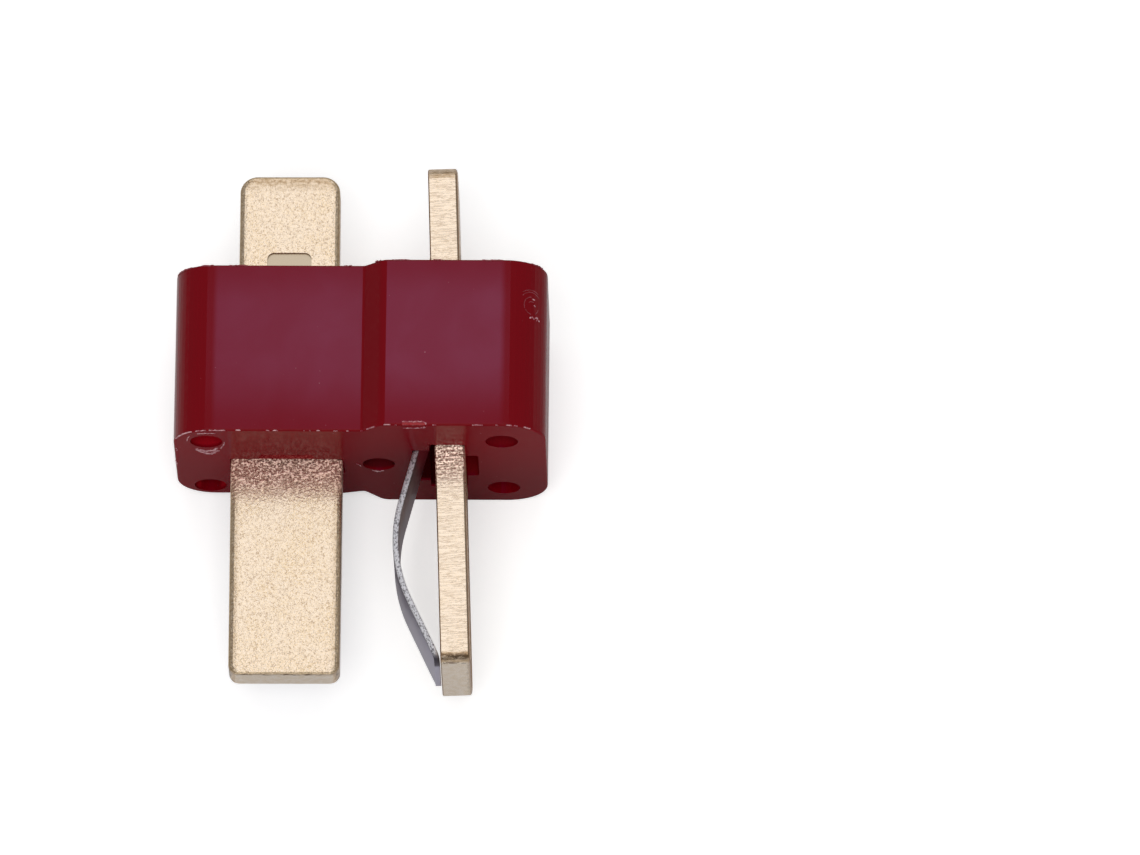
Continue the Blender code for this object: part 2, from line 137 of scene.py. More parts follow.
class Graph:
    """The node graph of one material or of the world, read in a frame of its own."""

    def __init__(self, tree: bpy.types.NodeTree, station: Matrix = Matrix()) -> None:
        """Start from an empty tree.

        Args:
            tree: The tree of a material or of the world.
            station: The frame that its coordinates are in.
        """
        self.tree = tree
        self.station = station
        tree.nodes.clear()

    def node(
        self,
        kind: str,
        settings: dict[str, object] | None = None,
        inputs: dict[str | int, object] | tuple = (),
        output: str | int = 0,
    ) -> Wire:
        """Add a node.

        Args:
            kind: The node's type.
            settings: Its properties, set before its sockets.
            inputs: Values or wires by socket name or number, or in socket order.
            output: Name or number of the output to return.

        Returns:
            That output.
        """
        made = self.tree.nodes.new(kind)
        for name, value in (settings or {}).items():
            setattr(made, name, value)
        pairs = inputs.items() if isinstance(inputs, dict) else enumerate(inputs)
        for key, value in pairs:
            socket = made.inputs[key]
            if isinstance(value, Wire):
                self.tree.links.new(value.socket, socket)
            elif isinstance(value, tuple) and len(value) == 3 and len(socket.default_value) == 4:
                socket.default_value = (*value, 1.0)
            else:
                socket.default_value = value
        return Wire(self, made.outputs[output])

    def finish(self, shader: Wire) -> None:
        """Lead a shader to the tree's output.

        Args:
            shader: The shader.
        """
        kind = "World" if self.tree.id_data.rna_type.identifier == "World" else "Material"
        output = self.tree.nodes.new(f"ShaderNodeOutput{kind}")
        self.tree.links.new(shader.socket, output.inputs["Surface"])

    def blend(self, share: Wire | float, first: Wire | Triple, second: Wire | Triple) -> Wire:
        """Mix two colours, by the share of the second."""
        return self.node("ShaderNodeMix", {"data_type": "RGBA"}, {0: share, 6: first, 7: second}, 2)

    def layers(self, colour: Wire, *layers: tuple[Wire | float, Wire | Triple]) -> Wire:
        """Lay colours over a colour.

        Args:
            colour: What is underneath.
            *layers: The share and the colour of each layer, from the lowest up.

        Returns:
            The colour seen from above.
        """
        for share, over in layers:
            colour = self.blend(share, colour, over)
        return colour

    def axis(self, vector: Wire, name: str) -> Wire:
        """One of a vector's three values, by its name."""
        return self.node("ShaderNodeSeparateXYZ", inputs=(vector,), output=name)

    def place(self, station: Matrix, cell: Triple = (MM, MM, MM)) -> Wire:
        """Object coordinates in a frame of their own.

        Args:
            station: Where the frame is, and how it is turned.
            cell: Size of the frame's units, in metres.

        Returns:
            The coordinates, in those units.
        """
        sockets = {
            "Vector": self.node("ShaderNodeTexCoord", output="Object"),
            "Location": tuple(station.translation),
            "Rotation": tuple(station.to_euler("XYZ")),
            "Scale": cell,
        }
        return self.node("ShaderNodeMapping", {"vector_type": "TEXTURE"}, sockets)

    def at(self, name: str) -> Wire:
        """The X, Y or Z of the surface in the graph's frame, in millimetres."""
        return self.axis(self.place(self.station), name)

    def facing(self, direction: Triple) -> Wire:
        """How squarely the surface faces a direction of the plug's frame, from -1 to 1."""
        sockets = {0: self.node("ShaderNodeTexCoord", output="Normal"), 1: direction}
        return self.node("ShaderNodeVectorMath", {"operation": "DOT_PRODUCT"}, sockets, "Value")

    def turned(self, direction: Triple) -> Wire:
        """How squarely the surface faces a direction of the graph's frame, either way."""
        return self.facing(tuple(self.station.to_3x3() @ Vector(direction))).size()

    def cloud(
        self, size: Triple | float, detail: float = 2.0, roughness: float = 0.5, warp: float = 0.0
    ) -> Wire:
        """Cloudy noise in the graph's frame.

        Args:
            size: Size of a cloud along each axis, in millimetres.
            detail: Number of finer layers.
            roughness: Weight of the finer layers.
            warp: How much the clouds are pulled out of shape.

        Returns:
            The noise, from 0 to 1.
        """
        sides = size if isinstance(size, tuple) else (size, size, size)
        sockets = {
            "Vector": self.place(self.station, tuple(side * MM for side in sides)),
            "Scale": 1.0,
            "Detail": detail,
            "Roughness": roughness,
            "Distortion": warp,
        }
        return self.node("ShaderNodeTexNoise", {"noise_dimensions": "3D"}, sockets)


@dataclass(frozen=True)
class Finish:
    """A surface finish: one Principled shader, with what changes over the surface wired in."""

    name: str
    roughness: float
    metallic: float = 0.0
    specular: float = 0.5
    bump_depth: float = 0.01 * MM
    station: Matrix = field(default_factory=Matrix)

    def colour(self, graph: Graph) -> Wire:
        """Base colour over the surface."""
        raise NotImplementedError

    def relief(self, graph: Graph) -> Wire:
        """Height over the surface, in bump depths."""
        raise NotImplementedError

    def wired(self, graph: Graph) -> dict[str, Wire | float]:
        """Whatever else changes over the surface, by the shader's socket."""
        return {}

    def make(self) -> bpy.types.Material:
        """Build the material.

        Returns:
            The material.
        """
        material = bpy.data.materials.new(self.name)
        material.use_nodes = True
        graph = Graph(material.node_tree, self.station)
        bump = {"Height": self.relief(graph), "Distance": self.bump_depth, "Strength": 1.0}
        sockets = {
            "Base Color": self.colour(graph),
            "Metallic": self.metallic,
            "Specular IOR Level": self.specular,
            "Coat Roughness": 0.05,
            "Roughness": self.roughness,
            "Normal": graph.node("ShaderNodeBump", inputs=bump),
        }
        graph.finish(graph.node("ShaderNodeBsdfPrincipled", inputs=sockets | self.wired(graph)))
        return material


@dataclass(frozen=True)
class MouldedNylon(Finish):
    """Wine red nylon with a painted sheen, a painted reflection of the overhead panel, on its flat faces,
    and polished where the mould is rounded.

    A pair of lengths says where a ramp starts and ends, in millimetres: across the housing,
    up from its back, or behind the mating edge.
    """

    name: str = "red_nylon"
    roughness: float = 0.1
    specular: float = 0.03
    bump_depth: float = 0.006 * MM
    mating_y: float = -1.665 * MM
    patchy: float = 0.14
    deep: Triple = (0.2, 0.0012, 0.006)
    # painted sheen: a purple-grey painted reflection of the overhead panel on the flats
    painted_sheen: Triple = (0.22, 0.005, 0.044)
    shade: Triple = (0.22, 0.003, 0.009)
    # painted shade at the bottom of the mating face
    bottom_shade: Triple = (0.12, 0.002, 0.006)
    # painted light and shade on the floors of the recesses and pockets
    recess_light_and_shade: Triple = (0.23, 0.006, 0.011)
    lit_inner: Triple = (0.38, 0.006, 0.014)
    recess_shade: Triple = (0.11, 0.005, 0.008)
    # painted shade in the leaf's slot
    slot_shade: Triple = (0.02, 0.001, 0.001)
    scratch: Triple = (0.5, 0.2, 0.25)
    blades: tuple[Pair, ...] = ((-5.62, -0.78), (3.22, 4.6))
    flat_coat: float = 0.55
    mating_coat: float = 0.03
    round_coat: float = 0.24
    sheen_left: Pair = (-6.4, -6.1)
    sheen_right: Pair = (6.3, 5.95)
    sheen_near: Pair = (0.0, 3.4)
    sheen_far: Pair = (7.7, 5.8)
    walls: Pair = (7.5, 7.35)
    floor: Pair = (1.1, 1.25)
    roof: Pair = (7.9, 7.75)
    mouth: Pair = (0.04, 0.2)
    slot: Pair = (1.2, 3.35)

    def _depth(self, graph: Graph) -> Wire:
        """How far the surface is behind the mating edge."""
        return graph.axis(graph.place(Matrix.Translation((0, self.mating_y, 0))), "Y")

    def _mating(self, graph: Graph) -> Wire:
        """1 on the mating face."""
        return graph.facing((0, -1, 0)).ramp(0.5, 0.95)

    def _flat(self, graph: Graph) -> Wire:
        """1 on the broad faces and the side walls, 0 on the rounds between them."""
        front = graph.turned((0, 0, 1)).ramp(0.985, 0.9995)
        return front.most(graph.turned((1, 0, 0)).ramp(0.95, 0.9995) * 0.4)

    def _inside(self, graph: Graph) -> Wire:
        """1 on what lies below the housing's front and above its back."""
        height = graph.at("Z")
        return height.ramp(8.2, 8.0) * height.ramp(0.8, 1.0)

    def _sheen_and_coat(self, graph: Graph) -> Wire:
        """Clouded painted sheen of the flats, a painted reflection of the overhead panel, thinner towards
        the mating edge; it also sets where the flats' clear coat is.

        Args:
            graph: The material's graph.

        Returns:
            Its share of the colour, from 0 to 1.
        """
        clouds = graph.cloud((2.6, 3.5, 3.5), 3.0, 0.55, 0.4)
        depth = self._depth(graph)
        fade = (0.25 + 0.75 * depth.ramp(*self.sheen_near)) * (0.5 + 0.5 * depth.ramp(*self.sheen_far))
        across = graph.at("X")
        fade = fade * (0.2 + 0.8 * across.ramp(*self.sheen_left) * across.ramp(*self.sheen_right))
        fade = fade * (0.86 + 0.14 * across.ramp(-5.5, 0.0))
        return self._flat(graph) * fade * (0.82 + 0.24 * clouds.ramp(0.35, 0.7))

    def colour(self, graph: Graph) -> Wire:
        """Deep red with a painted sheen on the flats, painted shade on the mating face that darkens
        towards its bottom, painted light and shade in the recesses and the leaf's slot, and a few fine
        scratches.

        Args:
            graph: The material's graph.

        Returns:
            The colour.
        """
        across, height, depth = graph.at("X"), graph.at("Z"), self._depth(graph)
        # painted shade on the mating face: darker towards its bottom and towards +X
        low = height.ramp(7.5, 0.5) * (0.35 + 0.5 * across.ramp(-5.6, 0.0))
        # painted light brightens the recess and pocket floors, most at the left; painted shade darkens
        # them near the middle
        recess_light_and_shade = graph.blend(across.ramp(-4.5, -6.0), self.recess_light_and_shade, self.lit_inner)
        recess_light_and_shade = graph.blend(across.size().ramp(2.2, 1.4), recess_light_and_shade, self.recess_shade)
        hidden = height.ramp(*self.roof) * height.ramp(*self.floor) * across.size().ramp(*self.walls)
        # painted shade darkens the leaf's slot between leaf and blade
        left, right = self.slot
        slot_shade_mask = across.ramp(left, left + 0.3) * across.ramp(right, right - 0.15)
        slot_shade_mask = slot_shade_mask * depth.ramp(0.03, 0.15) * depth.ramp(6.5, 6.0) * 0.85
        return graph.layers(
            # painted sheen over the deep red: a painted reflection on the flats
            graph.blend(self._sheen_and_coat(graph), self.deep, self.painted_sheen),
            (self._mating(graph), graph.blend(low, self.shade, self.bottom_shade)),
            (hidden * depth.ramp(*self.mouth) * depth.ramp(7.4, 7.2), recess_light_and_shade),
            (slot_shade_mask * self._inside(graph), self.slot_shade),
            (graph.cloud((0.16, 0.22, 0.16), 1.0, 0.4).ramp(0.8, 0.86) * 0.5, self.scratch),
        )

    def _gloss(self, graph: Graph) -> Wire:
        """Coat: strong on the flats, weak on the rounds, and on the mating face beside the blades.

        Args:
            graph: The material's graph.

        Returns:
            The coat's weight.
        """
        mating = self._mating(graph)
        across = graph.at("X")
        polished = 0.0
        for low, high in self.blades:
            beside = across.ramp(low - 0.05, low + 0.05) * across.ramp(high + 0.05, high - 0.05)
            polished = beside + polished
        polished = polished * graph.at("Z").ramp(4.6, 4.9) * 0.16 + self.mating_coat
        skin = self.round_coat * (1 - 0.75 * self._flat(graph)) + self._sheen_and_coat(graph) * self.flat_coat
        skin = skin * (0.3 + 0.7 * across.ramp(7.85, 7.4)) + 0.3 * across.ramp(-7.5, -7.9)
        return skin * (1 - mating) + polished * mating

    def relief(self, graph: Graph) -> Wire:
        """A slight moulded unevenness."""
        return graph.cloud((0.9, 1.6, 0.9), 2.0, 0.45) * 0.6 + graph.cloud(0.07, 2.0, 0.6) * 0.14

    def wired(self, graph: Graph) -> dict[str, Wire | float]:
        """The clear coat, and a roughness that is a little higher in patches."""
        rough = self.roughness + self.patchy * graph.cloud(1.3, 3.0, 0.6)
        return {"Coat Weight": self._gloss(graph), "Roughness": rough}


@dataclass(frozen=True)
class GoldPlate(Finish):
    """Pale gold plating over a stamped blade: grained faces and sheared, striped edges.

    The frame is the blade's own: X across it, Y along the plug from the mating edge, Z out of
    its contact side. Places are in millimetres.
    """

    name: str = "gold_plate"
    roughness: float = 0.24
    metallic: float = 1.0
    bump_depth: float = 0.03 * MM
    bright: Triple = (1.0, 0.845, 0.69)
    warm: Triple = (0.9, 0.69, 0.44)
    brown: Triple = (0.3, 0.17, 0.08)
    # tan and rim: painted darker reflection on the margins and rolled rims of the broad faces
    tan: Triple = (0.55, 0.39, 0.24)
    rim: Triple = (0.95, 0.72, 0.45)
    rim_shade_weight: float = 0.55
    # burr line, with painted shade at the tip
    burr_and_shade: Triple = (0.14, 0.08, 0.04)
    burr_weight: float = 1.0
    grazing_shade: float = 0.0
    cracks: tuple[Triple, ...] = ()
    crack: Triple = (0.12, 0.015, 0.01)
    # painted shade: tan band on the rounded corner of the tip
    corner: Triple = (0.55, 0.38, 0.22)
    # painted reflection of the red housing at the prong's root
    housing_reflection: Triple = (0.8, 0.46, 0.36)
    # grey and dull: painted reflection of the floor on the cut ends
    grey: Triple = (0.8, 0.71, 0.62)
    dull: Triple = (0.72, 0.6, 0.46)
    # painted shade on the floor of the tab's hollow
    floor: Triple = (0.58, 0.48, 0.36)
    shadow: Triple = (0.5, 0.12, 0.1)
    red_light: Triple = (0.085, 0.003, 0.005)
    face_spark: Triple = (0.46, 0.29, 0.25)
    edge_spark: Triple = (0.8, 0.6, 0.5)
    tip: float = -9.6
    slot_end: float = 7.62
    prong_margin: Pair = (1.9, 2.36)
    tab_margin: Pair = (1.85, 2.14)
    tab_end: Pair = (12.3, 12.95)

    def _edge(self, graph: Graph) -> Wire:
        """1 on the blade's cut edges, 0 on its broad faces."""
        return graph.turned((0, 0, 1)).ramp(0.6, 0.35)

    def _grain(self, graph: Graph) -> Wire:
        """Orange-peel grain of the broad faces."""
        return graph.cloud(0.1, 2.0, 0.6, 0.3)

    def _stripes(self, graph: Graph) -> Wire:
        """Fine stripes that the shear leaves across the cut edges."""
        return graph.cloud((0.5, 0.09, 0.9), 3.0, 0.65, 0.35)

    def _root(self, graph: Graph) -> Wire:
        """1 at the prong's root, where the plating is coarser and where the painted reflection of the
        housing and the painted glints lie, fading along the prong.
        """
        along = graph.at("Y")
        return along.ramp(-2.2, -0.5) * along.ramp(3.0, 1.0)

    def _hollow(self, graph: Graph) -> Wire:
        """1 on the coined floor of the hollow in the tab.

        Args:
            graph: The material's graph.

        Returns:
            The mask.
        """
        along = graph.at("Y")
        sunk = graph.at("Z").ramp(0.63, 0.6) * graph.at("X").size().ramp(1.1, 1.0)
        return sunk * along.ramp(5.0, 6.0) * along.ramp(10.4, 10.0)

    def _squiggles(self, graph: Graph) -> Wire:
        """Short crooked pits all over the faces."""
        lines = (graph.cloud(0.1, 1.5, 0.5, 0.5) - 0.5).size().ramp(0.06, 0.02)
        return lines * graph.cloud(0.16, 2.0, 0.5).ramp(0.38, 0.58)

    def _dash(self, graph: Graph, x: float, y: float, half: float) -> Wire:
        """A short crack along the blade.

        Args:
            graph: The material's graph.
            x: Where its middle is across the blade.
            y: Where its middle is along the blade.
            half: Half its length.

        Returns:
            Its share of the colour.
        """
        wander = graph.cloud((0.1, 0.08, 0.1)) * 0.12 - 0.06
        across = (graph.at("X") + wander - x).size().ramp(0.035, 0.015)
        return across * (graph.at("Y") - y).size().ramp(half + 0.03, half) * 0.8

    def _burr_and_shade(self, graph: Graph) -> Wire:
        """A dark, broken line of burr where the rolled rim meets the cut edge, heaviest at the tip, with
        painted shade in patches over the rounded tip and the upper end faces.

        Args:
            graph: The material's graph.

        Returns:
            Its share of the colour, from 0 to 1.
        """
        along = graph.at("Y")
        frayed = graph.cloud(0.16, 2.0, 0.6)
        patches = graph.cloud((0.6, 0.9, 0.6), 2.0, 0.6)
        torn = graph.cloud((0.22, 0.12, 0.22), 3.0, 0.7)
        line = (graph.at("Z") + (frayed - 0.5) * 0.2 - 0.5).size().ramp(0.075, 0.02)
        flat_tip = line * along.ramp(self.tip, self.tip - 0.15) * (0.45 + 0.5 * patches.ramp(0.4, 0.6))
        line = flat_tip.most(line * patches.ramp(0.5, 0.65) * 0.5) * self.burr_weight
        # painted shade: a dark patchy band over the rounded tip and on the upper end faces
        band = (along - self.tip + (frayed - 0.5) * 0.3).size().ramp(0.18, 0.06)
        tip_shade = band * torn.ramp(0.42, 0.54) * self._edge(graph)
        upper = graph.axis(graph.place(Matrix()), "Z").ramp(6.0, 6.3)
        end = graph.turned((0, 1, 0)).ramp(0.85, 0.98) * torn.ramp(0.46, 0.58)
        tip_shade = tip_shade.most(end * upper * along.ramp(0.0, -1.0))
        return line.most(tip_shade * 0.85) * (1 - self._hollow(graph))

    def _sides(self, graph: Graph) -> Wire:
        """1 at the margins of the broad faces, which the die has dragged down, where a painted darker
        reflection lies.

        Args:
            graph: The material's graph.

        Returns:
            The mask.
        """
        across, along = graph.at("X").size(), graph.at("Y")
        tab = across.ramp(*self.tab_margin).most(along.ramp(*self.tab_end)) * along.ramp(7.0, 7.6)
        return across.ramp(*self.prong_margin) * along.ramp(1.0, 0.0) + tab

    def _inside(self, graph: Graph) -> Wire:
        """1 on the stretch inside the housing."""
        along = graph.at("Y")
        return along.ramp(-0.01, 0.06) * along.ramp(self.slot_end, self.slot_end - 0.12)

    def _grazing_shade(self, graph: Graph) -> Wire:
        """Painted shade: brown on a prong's broad face where it is seen along the face.

        Args:
            graph: The material's graph.

        Returns:
            Its share of the colour, from 0 to 1.
        """
        grazed = graph.node("ShaderNodeLayerWeight", inputs={"Blend": 0.5}, output="Facing")
        near = graph.axis(graph.place(Matrix()), "Z").ramp(2.0, 3.2)
        prong = graph.at("Y").ramp(0.0, -0.4)
        return grazed.ramp(0.84, 0.93) * near * prong * (1 - self._edge(graph)) * self.grazing_shade

    def colour(self, graph: Graph) -> Wire:
        """Pale gold with brown pits, browner rims from painted shade, greyer cut ends from a painted
        reflection of the floor, and further painted light and shade.

        Args:
            graph: The material's graph.

        Returns:
            The colour.
        """
        edge, root, ends = self._edge(graph), self._root(graph), graph.turned((0, 1, 0))
        face = 1 - edge
        frayed = graph.cloud((0.3, 0.12, 0.3), 3.0, 0.65)
        patches = graph.cloud((1.1, 1.4, 1.1), 2.0, 0.5)
        grains = graph.cloud(0.055, 2.0, 0.7).ramp(0.38, 0.62) * (0.52 + 0.4 * patches.ramp(0.35, 0.7))
        rolled = graph.turned((0, 0, 1)).ramp(0.99, 0.9) * face
        blotches = frayed.ramp(0.35, 0.65)
        corner = ends.ramp(0.03, 0.15) * ends.ramp(0.97, 0.88) * edge
        lines = (self._stripes(graph) - 0.5).size().ramp(0.05, 0.015) * 0.4 * (1 - ends.ramp(0.6, 0.9))
        pits = self._squiggles(graph) * (0.58 - 0.3 * root)
        return graph.layers(
            graph.blend(grains * (1 - 0.6 * edge), self.bright, self.warm),
            # painted shade: darker reflection on the margins and the rolled rims
            (self._sides(graph) * face * (0.25 + 0.8 * frayed.ramp(0.3, 0.7)), self.tan),
            (rolled * (self.rim_shade_weight + 0.2 * frayed), self.rim),
            # painted reflection of the floor: greyer cut ends, in blotches
            (ends.ramp(0.85, 0.98) * 0.8, graph.blend(blotches, self.grey, self.dull)),
            # painted shade on the rounded corners of the tip
            (corner * (0.45 + 0.5 * blotches), self.corner),
            # painted reflection of the red housing at the root
            (root * self._grain(graph).ramp(0.6, 0.42) * (0.9 - 0.6 * edge), self.housing_reflection),
            (pits * face + lines * edge, self.brown),
            # painted shade on the hollow's floor
            (self._hollow(graph), self.floor),
            *((self._dash(graph, *crack) * face, self.crack) for crack in self.cracks),
            # painted grazing shade, in the rim colour
            (self._grazing_shade(graph), self.rim),
            (self._inside(graph), self.shadow),
            (self._burr_and_shade(graph), self.burr_and_shade),
        )

    def _glow(self, graph: Graph) -> Wire:
        """Painted red light on the stretch inside the housing, and painted glints on the grains at the
        root.

        Args:
            graph: The material's graph.

        Returns:
            The light's colour.
        """
        inside = self._inside(graph)
        light = graph.blend(inside * graph.at("Y").ramp(4.0, 3.0), (0.0, 0.0, 0.0), self.red_light)
        # painted glints: grains at the root that glow
        sparks = self._root(graph) * self._grain(graph).ramp(0.46, 0.62) * (1 - inside)
        spark = graph.blend(self._edge(graph), self.face_spark, self.edge_spark)
        return graph.blend(sparks * graph.facing((0, 0, 1)).ramp(0.3, 0.8), light, spark)

    def wired(self, graph: Graph) -> dict[str, Wire | float]:
        """The glow, and a roughness that is higher at the root and under the painted grazing shade."""
        rough = self.roughness + 0.16 * self._root(graph) + 0.5 * self._grazing_shade(graph)
        return {"Emission Color": self._glow(graph), "Emission Strength": 1.0, "Roughness": rough}

    def relief(self, graph: Graph) -> Wire:
        """Grain on the faces, coarser at the root, and stripes on the edges.

        Args:
            graph: The material's graph.

        Returns:
            The height.
        """
        edge = self._edge(graph)
        root = 1 + self._root(graph) * (3.4 - 1.2 * edge)
        grain = self._grain(graph) * 0.5 * (1 - edge) * (1 - 0.9 * self._hollow(graph))
        return (grain + self._stripes(graph) * 0.75 * edge) * root


@dataclass(frozen=True)
class SpringSteel(Finish):
    """Rolled strip, cool grey, with a torn, glittering cut edge."""

    name: str = "spring_steel"
    roughness: float = 0.4
    metallic: float = 1.0
    bump_depth: float = 0.012 * MM
    face: Triple = (0.46, 0.44, 0.53)
    cut: Triple = (0.8, 0.79, 0.83)
    gash: Triple = (0.13, 0.12, 0.14)
    edge_shade: Triple = (0.07, 0.06, 0.07)

    def _edge(self, graph: Graph) -> Wire:
        """1 on the strip's two cut edges."""
        return graph.turned((1, 0, 0)).ramp(0.75, 0.95)

    def colour(self, graph: Graph) -> Wire:
        """Grey, with darker gashes on the cut and a painted dark shade on the rounds beside it.

        Args:
            graph: The material's graph.

        Returns:
            The colour.
        """
        specks = graph.cloud((0.3, 0.11, 0.08), 3.0, 0.7)
        cut = graph.blend(specks.ramp(0.52, 0.38) * 0.85, self.cut, self.gash)
        tilt = graph.turned((1, 0, 0))
        # painted shade on the rounded corners beside the cut
        edge_shade = tilt.ramp(0.15, 0.4) * tilt.ramp(0.95, 0.75)
        return graph.blend(edge_shade * 0.85, graph.blend(self._edge(graph), self.face, cut), self.edge_shade)

    def relief(self, graph: Graph) -> Wire:
        """Rolling lines on the faces and a broken grain on the cut.

        Args:
            graph: The material's graph.

        Returns:
            The height.
        """
        lines = graph.cloud((0.06, 1.6, 0.06), 2.0, 0.5)
        broken = graph.cloud((0.1, 0.14, 0.1), 3.0, 0.7)
        edge = self._edge(graph)
        return lines * (1 - edge) * 0.25 + broken * edge * 2.0


@dataclass(frozen=True)
class WhitenedNylon(Finish):
    """Thin nylon that the mould has squeezed out, stressed nearly white."""

    name: str = "whitened_nylon"
    roughness: float = 0.3
    pale: Triple = (0.78, 0.46, 0.5)
    red: Triple = (0.32, 0.03, 0.06)

    def colour(self, graph: Graph) -> Wire:
        """Pale pink that fades into the housing's red."""
        return graph.blend(graph.cloud((0.2, 0.1, 0.1), 3.0, 0.6).ramp(0.42, 0.62), self.red, self.pale)

    def relief(self, graph: Graph) -> Wire:
        """Torn grain."""
        return graph.cloud(0.08, 3.0, 0.7)


class Bench:
    """Hand tools: the mesh operators that every piece is made with."""

    @staticmethod
    def clear() -> None:
        """Leave edit mode and deselect everything."""
        if bpy.context.object is not None and bpy.context.object.mode != "OBJECT":
            bpy.ops.object.mode_set(mode="OBJECT")
        bpy.ops.object.select_all(action="DESELECT")

    @staticmethod
    def block(name: str, low: Triple, high: Triple) -> Piece:
        """Add a cube between two corners and open it for editing.

        Args:
            name: The piece's name.
            low: Its lowest corner.
            high: Its highest corner.

        Returns:
            The object, in edit mode with everything selected.
        """
        bottom, top = Vector(low), Vector(high)
        Bench.clear()
        bpy.ops.mesh.primitive_cube_add(size=1.0, location=(0, 0, 0))
        piece = bpy.context.object
        piece.name = name
        bpy.ops.object.mode_set(mode="EDIT")
        bpy.ops.mesh.select_all(action="SELECT")
        bpy.ops.transform.resize(value=tuple(top - bottom), center_override=(0, 0, 0))
        bpy.ops.transform.translate(value=tuple((top + bottom) / 2))
        return piece

    @staticmethod
    def pick(piece: Piece, kind: str, wanted: Callable[..., bool]) -> None:
        """Select the edges or faces that a test picks.

        Args:
            piece: The object in edit mode.
            kind: EDGE or FACE.
            wanted: Test of one of them.
        """
        bpy.ops.mesh.select_mode(type=kind)
        bpy.ops.mesh.select_all(action="DESELECT")
        form = bmesh.from_edit_mesh(piece.data)
        for part in form.edges if kind == "EDGE" else form.faces:
            if wanted(part):
                part.select_set(True)
        form.select_flush_mode()
        bmesh.update_edit_mesh(piece.data)

    @staticmethod
    def fray(piece: Piece, places: list[float], shifts: list[Vector]) -> None:
        """Push a sliver's upper points out, ring by ring.

        Args:
            piece: The object in edit mode, its base below z 0.
            places: Where along X each ring is.
            shifts: How far each ring's upper points go.
        """
        bpy.ops.mesh.select_mode(type="VERT")
        for place, shift in zip(places, shifts):
            bpy.ops.mesh.select_all(action="DESELECT")
            form = bmesh.from_edit_mesh(piece.data)
            for vert in form.verts:
                if abs(vert.co.x - place) < 0.002 * MM and vert.co.z > -0.01 * MM:
                    vert.select_set(True)
            bmesh.update_edit_mesh(piece.data)
            bpy.ops.transform.translate(value=tuple(shift))

    @staticmethod
    def bend(piece: Piece, line: list[Vector]) -> None:
        """Bend a straight piece along a flat line.

        Args:
            piece: The piece; its X comes to run along the line, its Y out of it.
            line: The line's points.
        """
        curve = bpy.data.curves.new("bend", "CURVE")
        curve.dimensions = "2D"
        spline = curve.splines.new("POLY")
        spline.points.add(len(line) - 1)
        for point, place in zip(spline.points, line):
            point.co = (place.x, place.y, 0, 1)
        path = bpy.data.objects.new("bend", curve)
        bpy.context.scene.collection.objects.link(path)
        Bench.apply(piece, "CURVE", object=path, deform_axis="POS_X")
        bpy.data.objects.remove(path, do_unlink=True)

    @staticmethod
    def ring(places: list[float]) -> None:
        """Cut rings into the piece in edit mode.

        Args:
            places: Where along X each ring is.
        """
        for place in places:
            bpy.ops.mesh.select_all(action="SELECT")
            bpy.ops.mesh.bisect(plane_co=(place, 0, 0), plane_no=(1, 0, 0), threshold=MERGE)

    @staticmethod
    def close(piece: Piece) -> None:
        """Leave edit mode with outward faces and smooth shading.

        Args:
            piece: The object in edit mode.
        """
        bpy.ops.mesh.select_all(action="SELECT")
        bpy.ops.mesh.remove_doubles(threshold=MERGE)
        bpy.ops.mesh.normals_make_consistent(inside=False)
        bpy.ops.object.mode_set(mode="OBJECT")
        piece.select_set(True)
        bpy.context.view_layer.objects.active = piece
        bpy.ops.object.shade_smooth_by_angle(angle=math.radians(30))

    @staticmethod
    def apply(piece: Piece, kind: str, **settings: object) -> None:
        """Add a modifier to a piece and apply it.

        Args:
            piece: The piece.
            kind: The modifier's type.
            **settings: Its properties.
        """
        Bench.clear()
        piece.select_set(True)
        bpy.context.view_layer.objects.active = piece
        modifier = piece.modifiers.new(kind.lower(), kind)
        for name, value in settings.items():
            setattr(modifier, name, value)
        bpy.ops.object.modifier_apply(modifier=modifier.name)


def rounded_line(corners: list[Triple], step_angle: float) -> list[Vector]:
    """Points of a line through corners, each with its own radius.

    Args:
        corners: (x, y, radius) of each corner; the radius of both ends is 0.
        step_angle: Largest turn between two points of an arc, in degrees.

    Returns:
        The points.
    """
    places = [Vector((x, y)) for x, y, _ in corners]
    line = [places[0]]
    for before, corner, after, (_, _, radius) in zip(places, places[1:], places[2:], corners[1:]):
        back = (before - corner).normalized()
        ahead = (after - corner).normalized()
        half = back.angle(ahead) / 2
        centre = corner + (back + ahead).normalized() * radius / math.sin(half)
        first = corner + back * radius / math.tan(half) - centre
        last = corner + ahead * radius / math.tan(half) - centre
        sweep = math.copysign(math.pi - 2 * half, first.cross(last))
        steps = max(6, round(abs(sweep) / math.radians(step_angle)))
        for step in range(steps + 1):
            line.append(centre + Matrix.Rotation(sweep * step / steps, 2) @ first)
    line.append(places[-1])
    return line


def line_length(line: list[Vector]) -> float:
    """Length of a line of points."""
    return sum((b - a).length for a, b in zip(line, line[1:]))


def repaint(piece: Piece, material: bpy.types.Material) -> None:
    """Give every material slot of a piece the same finish.

    Args:
        piece: The piece.
        material: Its material.
    """
    if not piece.data.materials:
        piece.data.materials.append(material)
    for slot in piece.material_slots:
        slot.material = material


class Side(Enum):
    """The plug's two contacts."""

    FLAT = "flat"
    UPRIGHT = "upright"


